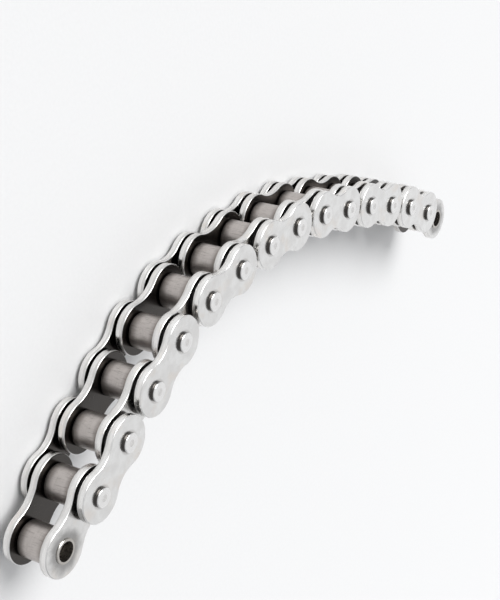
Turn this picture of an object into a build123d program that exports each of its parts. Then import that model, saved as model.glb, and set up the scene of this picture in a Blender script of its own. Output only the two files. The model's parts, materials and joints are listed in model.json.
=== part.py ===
"""A cut length of sealed roller chain, 15 links long, on its side in the curve it takes over a large wheel.

The pins stand upright, along Z. Every second link is a roller link: two inner plates, two bushes pressed
into them, and a roller free to turn on each bush. The links between are pin links: two outer plates riveted
on two pins, with a rubber seal ring round each pin between the inner and the outer plate. The length starts
and ends with a roller link, as cut chain does, so a connecting link's pin fits the free bush at each end.
"""

import math
import os
from itertools import accumulate

from build123d import *

# Chain series, in millimetres
PITCH = 15.875
ROLLER_DIAMETER = 10.16
ROLLER_LENGTH = 9.5
PIN_DIAMETER = 5.4
BUSH_DIAMETER = 7.1

# Plates
INNER_GAP = 9.7  # between the two inner plates
INNER_THICKNESS = 2.3
INNER_LOBE = 7.5  # radius of the round ends
INNER_WAIST = 5.7  # half the width at mid length
OUTER_THICKNESS = 2.2
OUTER_LOBE = 7.4
OUTER_WAIST = 5.2
SEAL_GAP = 1.05  # between an inner and an outer plate
EDGE_ROUND = 0.35

# Running clearances, on the radius
PIN_CLEARANCE = 0.06
ROLLER_CLEARANCE = 0.07

# Pin ends, riveted over the outer plates
HEAD_HEIGHT = 1.0
HEAD_SPREAD = 0.12  # how far riveting swells the end, on the radius
HEAD_ROUND = 0.4
DIMPLE_RADIUS = 1.1
DIMPLE_DEPTH = 0.15

# Bush ends stand out of the inner plates and centre the seal rings
BUSH_STUB = 0.35
BUSH_CHAMFER = 0.2
ROLLER_CHAMFER = 0.4

# Seal rings: a round section, squeezed flat between the plates
SEAL_INNER = 3.65
SEAL_OUTER = 5.55
SEAL_CLEARANCE = 0.03

# Bend at each pin joint in turn, in degrees, with the length at rest
REST_BENDS = (4, 4, 0, 11, 10, 6, 6, 6, 7, 2, 3, 4, 4, 4)
LINKS = len(REST_BENDS) + 1

INNER_OUT = INNER_GAP / 2 + INNER_THICKNESS  # outer face of an inner plate, from the chain's middle plane
OUTER_IN = INNER_OUT + SEAL_GAP
OUTER_OUT = OUTER_IN + OUTER_THICKNESS
PIN_HALF = OUTER_OUT + HEAD_HEIGHT  # the pins' lower ends carry the length
PIN_RADIUS = PIN_DIAMETER / 2
BUSH_RADIUS = BUSH_DIAMETER / 2
BUSH_BORE = PIN_RADIUS + PIN_CLEARANCE
BUSH_HALF = INNER_OUT + BUSH_STUB
ROLLER_BORE = BUSH_RADIUS + ROLLER_CLEARANCE


def link_headings():
    """The direction of each link in degrees from +X, falling along the length by the bends."""
    first = sum(REST_BENDS) / 2
    return [first - turned for turned in accumulate(REST_BENDS, initial=0)]


def pin_places():
    """X and Y of the pin axes in order, centred on the box round them."""
    x, y = [0.0], [0.0]
    for heading in link_headings():
        x.append(x[-1] + PITCH * math.cos(math.radians(heading)))
        y.append(y[-1] + PITCH * math.sin(math.radians(heading)))
    mid_x = (min(x) + max(x)) / 2
    mid_y = (min(y) + max(y)) / 2
    return [(a - mid_x, b - mid_y) for a, b in zip(x, y)]


def link_frame(number):
    """Where a link lies: its middle, on the chain's middle plane, with X along the link."""
    (x1, y1), (x2, y2) = pin_places()[number - 1 : number + 1]
    heading = link_headings()[number - 1]
    return Location(((x1 + x2) / 2, (y1 + y2) / 2, PIN_HALF), (0, 0, heading))


def plate_outline(lobe, waist):
    """A figure of eight: two round ends joined by hollow flanks that run smoothly into them."""
    half = PITCH / 2
    flank = (waist**2 + half**2 - lobe**2) / (2 * (lobe - waist))
    centre = waist + flank
    touch_x = half * flank / (lobe + flank)
    touch_y = centre * lobe / (lobe + flank)
    end = half + lobe
    return make_face(
        [
            ThreePointArc((-touch_x, touch_y), (-end, 0), (-touch_x, -touch_y)),
            ThreePointArc((-touch_x, -touch_y), (0, -waist), (touch_x, -touch_y)),
            ThreePointArc((touch_x, -touch_y), (end, 0), (touch_x, touch_y)),
            ThreePointArc((touch_x, touch_y), (0, waist), (-touch_x, touch_y)),
        ]
    )


def plate(lobe, waist, thickness, hole, low):
    """One link plate standing on height `low`, with its outer edges rounded."""
    blank = extrude(plate_outline(lobe, waist), thickness)
    faces = blank.faces().sort_by(Axis.Z)
    blank = fillet(faces[0].edges() + faces[-1].edges(), EDGE_ROUND)
    for side in (-1, 1):
        blank -= Pos(side * PITCH / 2, 0, thickness / 2) * Cylinder(hole, 2 * thickness)
    return Pos(0, 0, low) * blank


def pin():
    """One riveted pin: a plain shank whose two ends are swollen, rounded and dimpled."""
    head = PIN_RADIUS + HEAD_SPREAD
    swell = OUTER_OUT + HEAD_HEIGHT - HEAD_ROUND
    round_mid = HEAD_ROUND * math.sqrt(0.5)
    outline = [
        Line((0, 0), (PIN_RADIUS, 0)),
        Line((PIN_RADIUS, 0), (PIN_RADIUS, OUTER_OUT)),
        Line((PIN_RADIUS, OUTER_OUT), (head, swell)),
        ThreePointArc(
            (head, swell),
            (head - HEAD_ROUND + round_mid, swell + round_mid),
            (head - HEAD_ROUND, PIN_HALF),
        ),
        Line((head - HEAD_ROUND, PIN_HALF), (DIMPLE_RADIUS, PIN_HALF)),
        Line((DIMPLE_RADIUS, PIN_HALF), (0, PIN_HALF - DIMPLE_DEPTH)),
        Line((0, PIN_HALF - DIMPLE_DEPTH), (0, 0)),
    ]
    half = revolve(Plane.XZ * make_face(outline), Axis.Z)
    return half + mirror(half, Plane.XY)


def tube(inside, outside, half, chamfered):
    """A bush or roller: a round tube with chamfered outer edges."""
    body = Cylinder(outside, 2 * half)
    body = chamfer(body.edges().filter_by(GeomType.CIRCLE), chamfered)
    return body - Cylinder(inside, 3 * half)


def seal_ring():
    """One seal ring, lying flat on height 0: flat where the plates squeeze it, and bulging at its sides."""
    width = SEAL_OUTER - SEAL_INNER
    height = SEAL_GAP - 2 * SEAL_CLEARANCE
    section = Pos((SEAL_INNER + SEAL_OUTER) / 2, SEAL_GAP / 2) * SlotOverall(width, height)
    return revolve(Plane.XZ * section, Axis.Z)


def on_both_pins(shape):
    """The same piece on each of a link's two pin axes."""
    return [Pos(side * PITCH / 2, 0, 0) * shape for side in (-1, 1)]


def inner_plates():
    lower = plate(INNER_LOBE, INNER_WAIST, INNER_THICKNESS, BUSH_RADIUS, -INNER_OUT)
    upper = plate(INNER_LOBE, INNER_WAIST, INNER_THICKNESS, BUSH_RADIUS, INNER_GAP / 2)
    return [lower, upper]


def outer_plate(low):
    return plate(OUTER_LOBE, OUTER_WAIST, OUTER_THICKNESS, PIN_RADIUS, low)


def seal_rings():
    ring = seal_ring()
    return on_both_pins(Pos(0, 0, -OUTER_IN) * ring) + on_both_pins(Pos(0, 0, INNER_OUT) * ring)


def is_roller_link(number):
    """Roller links are the odd ones, so one stands at each end."""
    return number % 2 == 1


def node_shapes():
    """Every node's name and solids, in place."""
    bush = tube(BUSH_BORE, BUSH_RADIUS, BUSH_HALF, BUSH_CHAMFER)
    roller = tube(ROLLER_BORE, ROLLER_DIAMETER / 2, ROLLER_LENGTH / 2, ROLLER_CHAMFER)
    roller_link = {"inner_plates": inner_plates(), "bushes": on_both_pins(bush)}
    pin_link = {
        "outer_plate_lower": [outer_plate(-OUTER_OUT)],
        "outer_plate_upper": [outer_plate(OUTER_IN)],
        "pins": on_both_pins(pin()),
        "seal_rings": seal_rings(),
    }
    shapes = {}
    for number in range(1, LINKS + 1):
        frame = link_frame(number)
        pieces = roller_link if is_roller_link(number) else pin_link
        for name, solids in pieces.items():
            shapes[f"link_{number:02d}_{name}"] = [frame * solid for solid in solids]
    for number, (x, y) in enumerate(pin_places(), 1):
        shapes[f"roller_{number:02d}"] = [Pos(x, y, PIN_HALF) * roller]
    return shapes


def main():
    os.makedirs("parts", exist_ok=True)
    for name, solids in node_shapes().items():
        export_step(Compound(children=solids), f"parts/{name}.step")


if __name__ == "__main__":
    main()
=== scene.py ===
"""Looks of a length of sealed roller chain that lies on its side on a pale studio floor.

Every piece is a CAD node. This script gives each its material, and adds the floor, lights and camera.
Materials are worked out in each piece's own space, in millimetres: X runs along the link, Z along the pins,
and the origin is the middle of the link or of the roller. So the marks stay on the piece when it moves.
"""

import json
import math

import bpy
from mathutils import Matrix, Vector


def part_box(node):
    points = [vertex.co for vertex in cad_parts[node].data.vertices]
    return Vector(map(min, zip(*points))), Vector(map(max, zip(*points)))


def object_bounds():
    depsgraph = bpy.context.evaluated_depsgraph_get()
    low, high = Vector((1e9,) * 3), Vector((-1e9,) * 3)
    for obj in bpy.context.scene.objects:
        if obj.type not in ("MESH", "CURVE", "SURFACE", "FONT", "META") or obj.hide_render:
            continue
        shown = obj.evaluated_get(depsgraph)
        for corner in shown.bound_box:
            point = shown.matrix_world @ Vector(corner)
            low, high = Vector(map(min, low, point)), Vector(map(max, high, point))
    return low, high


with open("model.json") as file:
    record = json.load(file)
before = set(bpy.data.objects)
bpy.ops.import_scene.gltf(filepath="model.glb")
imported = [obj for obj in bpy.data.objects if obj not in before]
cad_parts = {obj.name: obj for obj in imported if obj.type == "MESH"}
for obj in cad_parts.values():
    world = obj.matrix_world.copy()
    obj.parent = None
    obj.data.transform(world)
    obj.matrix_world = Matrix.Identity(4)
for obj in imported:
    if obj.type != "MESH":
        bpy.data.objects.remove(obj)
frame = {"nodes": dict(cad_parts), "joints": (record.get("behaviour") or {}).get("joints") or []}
cad_low, cad_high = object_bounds()
CHAIN_MIDDLE = (cad_low + cad_high) / 2

MM = 0.001

# The view: the camera's azimuth and elevation from the chain's middle, and its turn about its own axis
VIEW_AZIMUTH = -125.0
VIEW_ELEVATION = 29.6
VIEW_ROLL = 103.7
VIEW_DISTANCE = 0.4065
VIEW_LENS = 80.3
AIM_OFFSET = Vector((-6.5, 1.8, 0)) * MM  # from the chain's middle

FLOOR_SIZE = 12.0
FLOOR_GAP = 0.05 * MM  # so that the pins' ends don't lie in the floor's own plane
FLOOR_SPECKS = 900.0  # per metre
SKY_LOW = (0.62, 0.63, 0.65)
SKY_HIGH = (0.26, 0.265, 0.275)

ROLLERS = 16

# Heights of a link's inner plates from its middle plane, in mm. An outer plate's come from its own box.
INNER_PLATE_LOW = 4.85
INNER_PLATE_HIGH = 7.15

# Where marks fade from one end of a zone to the other, in mm from a pin's axis or from the middle plane
PIN_RING_AND_SHADE_ZONE = (2.9, 3.7)
SEAL_TRACK_ZONE = (5.2, 8.2)
PIN_HOLLOW_ZONE = (0.9, 1.15)
PIN_SHOULDER_ZONE = (2.2, 2.6)
ROLLER_RUBBED_ZONE = (2.4, 4.3)
ROLLER_GREASE_AND_SHADE_ZONE = (4.2, 5.4)

# The same through a plate's thickness: nought is its face towards the rollers, and one its other face
INWARD_ZONE = (0.0, 0.2)
TORN_ZONE = (0.30, 0.38)

# How far each kind of mark rises above the surface, in mm. Scratches and dings go below it.
PLATE_PEEL = 0.005
PLATE_GRAIN = 0.0012
FINE_SCRATCH = -0.0014
LONG_SCRATCH = -0.002
DING = -0.008
SHEARED_LINE = 0.008
TEAR = 0.05
ROLLER_RINGS = 0.005
ROLLER_GRAIN = 0.003
ROLLER_MARKS = 0.008
SPUN_RINGS = 0.010
PIN_GRAIN = 0.002
PIN_WAVES = 0.012
BUSH_RINGS = 0.006
BUSH_WAVES = 0.010
RUBBER_GRAIN = 0.012
FLOOR_GRAIN = 0.02

# Linear colours, red, green and blue
OUTER_BRIGHT = (0.83, 0.825, 0.81)
OUTER_DULL = (0.75, 0.74, 0.725)
INNER_BRIGHT = (0.80, 0.79, 0.775)
INNER_DULL = (0.72, 0.71, 0.695)
WARM_STAIN = (0.76, 0.70, 0.64)
TORN_STEEL = (0.68, 0.67, 0.655)
# Lightens the plates' rounded edges: rubbed wear, and a painted highlight
RUBBED_EDGE_AND_HIGHLIGHT = (0.90, 0.89, 0.875)
# Darkens a ring round each pin's head: riveting discolouration, and painted contact shadow
PIN_RING_AND_SHADE = (0.42, 0.40, 0.38)
# Darkens plate faces towards the rollers and round the seals: grease, and painted shade between the parts
PLATE_GREASE_AND_SHADE = (0.04, 0.035, 0.031)
ROLLER_DARK = (0.24, 0.215, 0.20)
ROLLER_LIGHT = (0.34, 0.31, 0.29)
ROLLER_RUBBED = (0.57, 0.53, 0.505)
ROLLER_RING = (0.17, 0.15, 0.135)
ROLLER_SCUFF = (0.13, 0.115, 0.105)
# Darkens the rollers' ends and end faces: grease, and painted shade between the inner plates
ROLLER_GREASE_AND_SHADE = (0.06, 0.053, 0.047)
PIN_DARK = (0.80, 0.79, 0.775)
PIN_LIGHT = (0.90, 0.89, 0.875)
PIN_HOLLOW = (0.46, 0.44, 0.42)
# Painted dark reflection: the colour of the pins' upright sides
PIN_SIDE_DARK_REFLECTION = (0.10, 0.095, 0.09)
BUSH_DARK = (0.42, 0.39, 0.355)
BUSH_LIGHT = (0.60, 0.58, 0.55)
RUBBER_DARK = (0.012, 0.012, 0.013)
RUBBER_LIGHT = (0.028, 0.027, 0.027)
FLOOR_DARK = (0.65, 0.65, 0.65)
FLOOR_LIGHT = (0.68, 0.68, 0.68)


# ---------------------------------------------------------------- node helper


class Graph:
    """A material's node tree, with short calls that add one node each and return its output."""

    def __init__(self, name):
        self.material = bpy.data.materials.new(name)
        self.material.use_nodes = True
        self.tree = self.material.node_tree
        self.tree.nodes.clear()

    def add(self, kind, inputs=None, **settings):
        node = self.tree.nodes.new("ShaderNode" + kind)
        for key, value in settings.items():
            setattr(node, key, value)
        for key, value in (inputs or {}).items():
            self.plug(node.inputs[key], value)
        return node

    def plug(self, socket, value):
        if isinstance(value, bpy.types.NodeSocket):
            self.tree.links.new(value, socket)
        else:
            socket.default_value = value

    def math(self, operation, *values, clamp=False):
        inputs = dict(enumerate(values))
        return self.add("Math", inputs, operation=operation, use_clamp=clamp).outputs[0]

    def times(self, *values):
        """The product of two or more values."""
        product = values[0]
        for value in values[1:]:
            product = self.math("MULTIPLY", product, value)
        return product

    def noise(self, vector, scale=1.0, detail=2.0, rough=0.5, distortion=0.0):
        inputs = {
            "Vector": vector,
            "Scale": scale,
            "Detail": detail,
            "Roughness": rough,
            "Distortion": distortion,
        }
        return self.add("TexNoise", inputs).outputs["Fac"]

    def stretch(self, vector, x, y, z):
        return self.add("VectorMath", {0: vector, 1: (x, y, z)}, operation="MULTIPLY").outputs[0]

    def turn(self, vector, degrees):
        inputs = {"Vector": vector, "Angle": math.radians(degrees)}
        return self.add("VectorRotate", inputs, rotation_type="Z_AXIS").outputs[0]

    def shift(self, vector, amount):
        """The same space moved off, so that no two pieces share a stretch of noise."""
        return self.add("VectorMath", {0: vector, 1: (amount, amount * 0.7, amount * 1.3)}).outputs[0]

    def ramp(self, value, low, high, to_low=0.0, to_high=1.0):
        """A smooth step from to_low to to_high as the value goes from low to high."""
        inputs = {"Value": value, "From Min": low, "From Max": high, "To Min": to_low, "To Max": to_high}
        return self.add("MapRange", inputs, interpolation_type="SMOOTHSTEP").outputs[0]

    def blend(self, share, low, high):
        """The number low as the share is nought, and high as it is one."""
        node = self.add("Mix", data_type="FLOAT")
        for key, value in (("Factor", share), ("A", low), ("B", high)):
            self.plug(node.inputs[key], value)
        return node.outputs[0]

    def tint(self, share, low, high):
        """The same for colours. The node's sockets for colours share their names, so they go by number."""
        node = self.add("Mix", data_type="RGBA")
        for index, value in ((0, share), (6, low), (7, high)):
            self.plug(node.inputs[index], (*value, 1.0) if isinstance(value, tuple) else value)
        return node.outputs[2]

    def finish(self, tone, roughness, relief, metallic=1.0):
        """The material, from its colour, its roughness and the height of its surface in mm."""
        normal = self.add("Bump", {"Height": relief, "Distance": MM, "Strength": 1.0}).outputs[0]
        inputs = {"Base Color": tone, "Roughness": roughness, "Normal": normal, "Metallic": metallic}
        shader = self.add("BsdfPrincipled", inputs)
        self.add("OutputMaterial", {"Surface": shader.outputs[0]})
        return self.material


# ---------------------------------------------------------------- the chain's layout


def joint_place(name):
    return next(Vector(joint["pos_m"]) for joint in frame["joints"] if joint["name"] == name)


PIN_PLACES = [joint_place(f"roller_spin_{number:02d}") for number in range(1, ROLLERS + 1)]
HALF_PITCH = (PIN_PLACES[1] - PIN_PLACES[0]).length / MM / 2
MID_HEIGHT = PIN_PLACES[0].z


def link_place(number):
    """A link's middle, and the turn of its length from +X in radians."""
    start, end = PIN_PLACES[number - 1 : number + 1]
    return (start + end) / 2, math.atan2(end.y - start.y, end.x - start.x)


def own_space(graph, middle, heading=0.0):
    """Millimetres from a piece's own middle, with X along its link and Z along the pins."""
    place = graph.add("TexCoord").outputs["Object"]
    inputs = {"Vector": place, "Location": middle, "Rotation": (0, 0, heading), "Scale": (MM, MM, MM)}
    return graph.add("Mapping", inputs, vector_type="TEXTURE").outputs[0]


def split(graph, vector):
    return graph.add("SeparateXYZ", {0: vector}).outputs


def height_from_middle(graph, space):
    """Distance from the chain's middle plane, in mm."""
    return graph.math("ABSOLUTE", split(graph, space)[2])


def flatness(graph, low, high):
    """A smooth step from nought to one as the surface turns from standing along the pins to lying flat.

    With low above high it is the other way round.
    """
    normal = graph.add("TexCoord").outputs["Normal"]
    return graph.ramp(graph.math("ABSOLUTE", split(graph, normal)[2]), low, high)


def pin_distance(graph, space):
    """Distance from the nearer of a link's two pin axes, in mm."""
    x, y, _ = split(graph, space)
    beside = graph.math("SUBTRACT", graph.math("ABSOLUTE", x), HALF_PITCH)
    square = graph.math("ADD", graph.times(beside, beside), graph.times(y, y))
    return graph.math("SQRT", square)


def weighted(graph, base, *pairs):
    """A base number plus the sum of each value times its weight."""
    total = base
    for value, weight in pairs:
        total = graph.math("MULTIPLY_ADD", value, weight, total)
    return total


def scratches(graph, space, degrees, width):
    """Thin broken lines that run at one angle over a flat face."""
    along = graph.stretch(graph.turn(space, degrees), 0.16, 4.5, 0.5)
    wave = graph.noise(along, detail=1.0, distortion=0.3)
    line = graph.ramp(graph.math("ABSOLUTE", graph.math("SUBTRACT", wave, 0.5)), 0.0, width, 1.0, 0.0)
    patches = graph.ramp(graph.noise(space, scale=0.33), 0.5, 0.6)
    return graph.times(line, patches)


# ---------------------------------------------------------------- materials


def plate_material(name, number, heights, tones, greasy_and_shaded):
    """Bright nickel plate over a blanked steel link plate, which lies between two heights in mm.

    The face towards the rollers is darkened near black, as grease and as painted shade between the parts. So
    is the seal's track on the other face where an amount is given, as grease and as painted shade under the
    outer plates' edges.
    """
    graph = Graph(name)
    space = own_space(graph, *link_place(number))
    marks = graph.shift(space, 23.0 * number)
    across = graph.ramp(height_from_middle(graph, space), *heights)
    around = pin_distance(graph, space)
    face = flatness(graph, 0.6, 0.97)
    rounding = graph.math("SUBTRACT", flatness(graph, 0.05, 0.4), face, clamp=True)
    rim = flatness(graph, 0.45, 0.1)

    mottle = graph.noise(marks, scale=0.28, detail=3.0)
    grain = graph.noise(marks, scale=7.0, detail=3.0, rough=0.65)
    peel = graph.noise(marks, scale=1.1)
    fine = scratches(graph, marks, 17.0 + 40.0 * number, 0.012)
    long = scratches(graph, marks, 95.0 + 23.0 * number, 0.008)
    spots = graph.add("TexVoronoi", {"Vector": marks, "Scale": 0.42}, feature="F1").outputs["Distance"]
    dings = graph.ramp(spots, 0.0, 0.085, 1.0, 0.0)

    # A blanked edge: a burnished band where the punch sheared, then a coarser torn band with upright lines
    sheared_lines = graph.noise(graph.stretch(marks, 5.0, 5.0, 0.45), detail=3.0, rough=0.7)
    tears = graph.noise(graph.stretch(marks, 3.5, 3.5, 1.6), detail=4.0, rough=0.75)
    wander = graph.times(graph.math("SUBTRACT", peel, 0.5), 0.25)
    torn = graph.ramp(graph.math("ADD", across, wander), *TORN_ZONE, 1.0, 0.0)
    torn_rim = graph.times(rim, torn)

    # Ring round each pin's head on the face: riveting discolouration, and painted contact shadow
    ring_and_shade = graph.times(graph.ramp(around, *PIN_RING_AND_SHADE_ZONE, 1.0, 0.0), face)
    stain = graph.times(graph.ramp(graph.noise(marks, scale=0.16), 0.52, 0.72), 0.5)
    # Grease and painted shade: the face towards the rollers, and the seal's track under the outer plates,
    # darken near black
    inward = graph.ramp(across, *INWARD_ZONE, 0.96, 0.0)
    seal_reach = graph.math("ADD", around, graph.times(mottle, 2.4))
    seal_track = graph.ramp(seal_reach, *SEAL_TRACK_ZONE, greasy_and_shaded, 0.0)
    grease_and_shade = graph.math("MAXIMUM", graph.times(inward, face), graph.times(seal_track, face))

    bright, dull = tones
    tone = graph.tint(graph.ramp(mottle, 0.3, 0.7), dull, bright)
    tone = graph.tint(stain, tone, WARM_STAIN)
    tone = graph.tint(torn_rim, tone, TORN_STEEL)
    tone = graph.tint(graph.times(ring_and_shade, 0.55), tone, PIN_RING_AND_SHADE)
    # Rounded edges lightened: rubbed wear, and a painted highlight
    tone = graph.tint(graph.times(rounding, 0.6), tone, RUBBED_EDGE_AND_HIGHLIGHT)
    tone = graph.tint(grease_and_shade, tone, PLATE_GREASE_AND_SHADE)

    rough = weighted(graph, 0.0, (mottle, 0.12), (grain, 0.08), (fine, 0.10), (ring_and_shade, 0.06))
    rough = graph.math("ADD", rough, graph.blend(rounding, 0.11, 0.22))
    rough = graph.blend(torn_rim, rough, 0.36)

    marred = ((fine, FINE_SCRATCH), (long, LONG_SCRATCH), (dings, DING))
    face_relief = weighted(graph, 0.0, (peel, PLATE_PEEL), (grain, PLATE_GRAIN), *marred)
    rim_relief = graph.blend(torn, graph.times(sheared_lines, SHEARED_LINE), graph.times(tears, TEAR))
    relief = graph.blend(rim, face_relief, rim_relief)
    return graph.finish(tone, rough, relief)


def roller_material(name, number):
    """Hardened steel, warm grey, with a band rubbed bright by the wheel's teeth, and darkened near its ends
    and on its end faces, as grease and as painted shade between the inner plates.
    """
    graph = Graph(name)
    space = own_space(graph, PIN_PLACES[number - 1])
    marks = graph.shift(space, 31.0 * number)
    rings = graph.noise(graph.stretch(marks, 0.25, 0.25, 6.0), detail=4.0, rough=0.7)
    scuffs = graph.noise(graph.stretch(marks, 3.2, 3.2, 0.32), detail=4.0, rough=0.7)
    grain = graph.noise(marks, scale=5.0, detail=3.0, rough=0.6)
    mottle = graph.noise(marks, scale=0.45, detail=3.0)
    reach = graph.math("ADD", height_from_middle(graph, space), graph.times(mottle, 1.6))
    rubbed = graph.ramp(reach, *ROLLER_RUBBED_ZONE, 1.0, 0.0)
    # Grease and painted shade: the end faces and the ends of the roller, between the inner plates, darken
    # near black
    greasy_and_shaded = graph.math("MAXIMUM", flatness(graph, 0.3, 0.6), graph.ramp(reach, *ROLLER_GREASE_AND_SHADE_ZONE))

    tone = graph.tint(mottle, ROLLER_DARK, ROLLER_LIGHT)
    tone = graph.tint(graph.times(rubbed, 0.75), tone, ROLLER_RUBBED)
    tone = graph.tint(graph.times(graph.ramp(rings, 0.5, 0.75), 0.35), tone, ROLLER_RING)
    tone = graph.tint(graph.times(graph.ramp(scuffs, 0.5, 0.72), 0.5), tone, ROLLER_SCUFF)
    tone = graph.tint(graph.times(greasy_and_shaded, 0.85), tone, ROLLER_GREASE_AND_SHADE)
    rough = weighted(graph, 0.28, (rings, 0.16), (grain, 0.10), (scuffs, 0.12), (rubbed, -0.06))
    fine_relief = weighted(graph, 0.0, (rings, ROLLER_RINGS), (grain, ROLLER_GRAIN))
    relief = weighted(graph, fine_relief, (scuffs, ROLLER_MARKS), (mottle, ROLLER_MARKS))
    return graph.finish(tone, rough, relief)


def pin_material(name, number):
    """Ground steel pins whose riveted ends keep the rings that the spinning tool left."""
    graph = Graph(name)
    space = own_space(graph, *link_place(number))
    marks = graph.shift(space, 17.0 * number)
    around = pin_distance(graph, space)
    end = flatness(graph, 0.5, 0.9)
    hollow = graph.ramp(around, *PIN_HOLLOW_ZONE, 1.0, 0.0)
    shoulder = graph.ramp(around, *PIN_SHOULDER_ZONE)
    reach = graph.math("ADD", around, graph.times(graph.noise(marks, scale=0.8), 0.12))
    spun = graph.add("CombineXYZ", {0: graph.times(reach, 9.0), 1: 3.1 * number}).outputs[0]
    rings = graph.noise(spun, detail=3.0, rough=0.6)
    grain = graph.noise(marks, scale=8.0, detail=3.0, rough=0.6)
    mottle = graph.noise(marks, scale=0.9)

    tone = graph.tint(mottle, PIN_DARK, PIN_LIGHT)
    tone = graph.tint(graph.times(hollow, end, 0.35), tone, PIN_HOLLOW)
    # Painted dark reflection: the pins' upright sides are coloured near black
    tone = graph.tint(flatness(graph, 0.25, 0.6), PIN_SIDE_DARK_REFLECTION, tone)
    rough = weighted(graph, 0.15, (rings, 0.14), (grain, 0.10), (shoulder, -0.05))
    end_rings = graph.times(rings, end)
    relief = weighted(graph, 0.0, (end_rings, SPUN_RINGS), (grain, PIN_GRAIN), (mottle, PIN_WAVES))
    return graph.finish(tone, rough, relief)


def bush_material(name, number):
    """Hardened steel bushes under a film of old oil, ground in fine rings."""
    graph = Graph(name)
    marks = graph.shift(own_space(graph, *link_place(number)), 13.0 * number)
    rings = graph.noise(graph.stretch(marks, 0.3, 0.3, 7.0), detail=3.0, rough=0.6)
    mottle = graph.noise(marks, scale=0.7, detail=3.0)
    tone = graph.tint(mottle, BUSH_DARK, BUSH_LIGHT)
    rough = weighted(graph, 0.14, (rings, 0.14), (mottle, 0.12))
    relief = weighted(graph, 0.0, (rings, BUSH_RINGS), (mottle, BUSH_WAVES))
    return graph.finish(tone, rough, relief)


def seal_material(name, number):
    """Black nitrile rubber, matt where it is dry and glossy where the grease has wet it."""
    graph = Graph(name)
    marks = graph.shift(own_space(graph, *link_place(number)), 19.0 * number)
    grain = graph.noise(marks, scale=9.0, detail=3.0, rough=0.6)
    wet = graph.ramp(graph.noise(marks, scale=0.7), 0.4, 0.65)
    tone = graph.tint(grain, RUBBER_DARK, RUBBER_LIGHT)
    rough = graph.blend(wet, 0.55, 0.24)
    return graph.finish(tone, rough, graph.times(grain, RUBBER_GRAIN), metallic=0.0)


def inner_plate_material(node, number):
    heights = (INNER_PLATE_LOW, INNER_PLATE_HIGH)
    return plate_material(node + "_nickel", number, heights, (INNER_BRIGHT, INNER_DULL), greasy_and_shaded=0.55)


def outer_plate_material(node, number):
    heights = sorted(abs(corner.z - MID_HEIGHT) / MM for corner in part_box(node))
    return plate_material(node + "_nickel", number, heights, (OUTER_BRIGHT, OUTER_DULL), greasy_and_shaded=0.0)


def node_material(node):
    """The material of a CAD node, from the piece and the number that its name gives."""
    number = int(node.split("_")[1])
    if node.startswith("roller"):
        return roller_material(node + "_steel", number)
    if node.endswith("inner_plates"):
        return inner_plate_material(node, number)
    if "outer_plate" in node:
        return outer_plate_material(node, number)
    if node.endswith("pins"):
        return pin_material(node + "_steel", number)
    if node.endswith("bushes"):
        return bush_material(node + "_steel", number)
    return seal_material(node + "_rubber", number)


def dress_chain():
    for node in sorted(frame["nodes"]):
        material = node_material(node)
        for slot in frame["nodes"][node].material_slots:
            slot.material = material


# ---------------------------------------------------------------- studio


def floor():
    half = FLOOR_SIZE / 2
    corners = [(-half, -half, 0), (half, -half, 0), (half, half, 0), (-half, half, 0)]
    mesh = bpy.data.meshes.new("floor")
    mesh.from_pydata(corners, [], [(0, 1, 2, 3)])
    ground = bpy.data.objects.new("floor", mesh)
    ground.location.z = cad_low.z - FLOOR_GAP
    bpy.context.scene.collection.objects.link(ground)

    graph = Graph("pale_floor")
    specks = graph.noise(graph.add("TexCoord").outputs["Object"], scale=FLOOR_SPECKS)
    tone = graph.tint(specks, FLOOR_DARK, FLOOR_LIGHT)
    mesh.materials.append(graph.finish(tone, 0.55, graph.times(specks, FLOOR_GRAIN), metallic=0.0))


def from_middle(azimuth, elevation, distance):
    """A place that far from the chain's middle, with azimuth and elevation as the camera's are."""
    turn, rise = math.radians(azimuth), math.radians(elevation)
    way = Vector((math.sin(turn) * math.cos(rise), -math.cos(turn) * math.cos(rise), math.sin(rise)))
    return CHAIN_MIDDLE + way * distance


def shine(data, azimuth, elevation, distance=1.0):
    """Puts a light in the scene, aimed at the chain's middle."""
    light = bpy.data.objects.new(data.name, data)
    light.location = from_middle(azimuth, elevation, distance)
    light.rotation_euler = (CHAIN_MIDDLE - light.location).to_track_quat("-Z", "Y").to_euler()
    bpy.context.scene.collection.objects.link(light)


def softbox(name, azimuth, elevation, distance, width, height, watts):
    data = bpy.data.lights.new(name, "AREA")
    data.shape = "RECTANGLE"
    data.size, data.size_y = width, height
    data.energy = watts
    shine(data, azimuth, elevation, distance)


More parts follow.
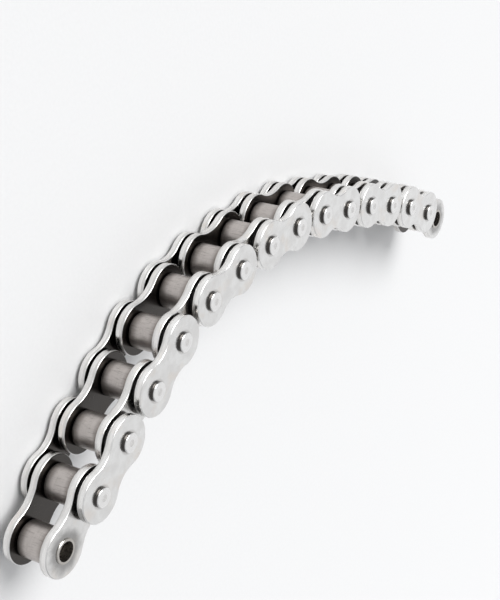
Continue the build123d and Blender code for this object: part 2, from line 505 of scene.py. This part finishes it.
def distant_light(name, azimuth, elevation, spread, strength):
    """A broad soft light that falls evenly on the whole floor."""
    data = bpy.data.lights.new(name, "SUN")
    data.angle = math.radians(spread)
    data.energy = strength
    shine(data, azimuth, elevation)


def sky():
    """Bright round the horizon and dimmer overhead, so a rounded edge shows grey beside white."""
    world = bpy.data.worlds.new("studio")
    bpy.context.scene.world = world
    world.use_nodes = True
    tree = world.node_tree
    background = tree.nodes["Background"]
    place = tree.nodes.new("ShaderNodeTexCoord")
    parts = tree.nodes.new("ShaderNodeSeparateXYZ")
    ramp = tree.nodes.new("ShaderNodeValToRGB")
    tree.links.new(place.outputs["Generated"], parts.inputs[0])
    tree.links.new(parts.outputs[2], ramp.inputs[0])
    tree.links.new(ramp.outputs[0], background.inputs["Color"])
    ramp.color_ramp.interpolation = "EASE"
    ramp.color_ramp.elements[0].color = (*SKY_LOW, 1.0)
    ramp.color_ramp.elements[1].color = (*SKY_HIGH, 1.0)


def lights():
    """The sky, a softbox that the plates reflect to the camera, a key light to one side, a dim one above."""
    sky()
    softbox("back_box", VIEW_AZIMUTH + 180, 34, distance=0.9, width=1.4, height=0.8, watts=1.5)
    distant_light("key_light", VIEW_AZIMUTH - 68, 52, spread=40, strength=3.0)
    distant_light("top_light", VIEW_AZIMUTH, 85, spread=95, strength=0.7)


def camera():
    data = bpy.data.cameras.new("camera")
    data.lens = VIEW_LENS
    data.clip_start, data.clip_end = 0.01, 50.0
    eye = bpy.data.objects.new("camera", data)
    eye.location = from_middle(VIEW_AZIMUTH, VIEW_ELEVATION, VIEW_DISTANCE) + AIM_OFFSET
    aim = CHAIN_MIDDLE + AIM_OFFSET - eye.location
    level = aim.to_track_quat("-Z", "Y").to_matrix()
    rolled = Matrix.Rotation(math.radians(VIEW_ROLL), 3, level.col[2]) @ level
    eye.rotation_euler = rolled.to_euler()
    bpy.context.scene.collection.objects.link(eye)
    bpy.context.scene.camera = eye


dress_chain()
floor()
lights()
camera()
bpy.context.scene.view_settings.view_transform = "Standard"
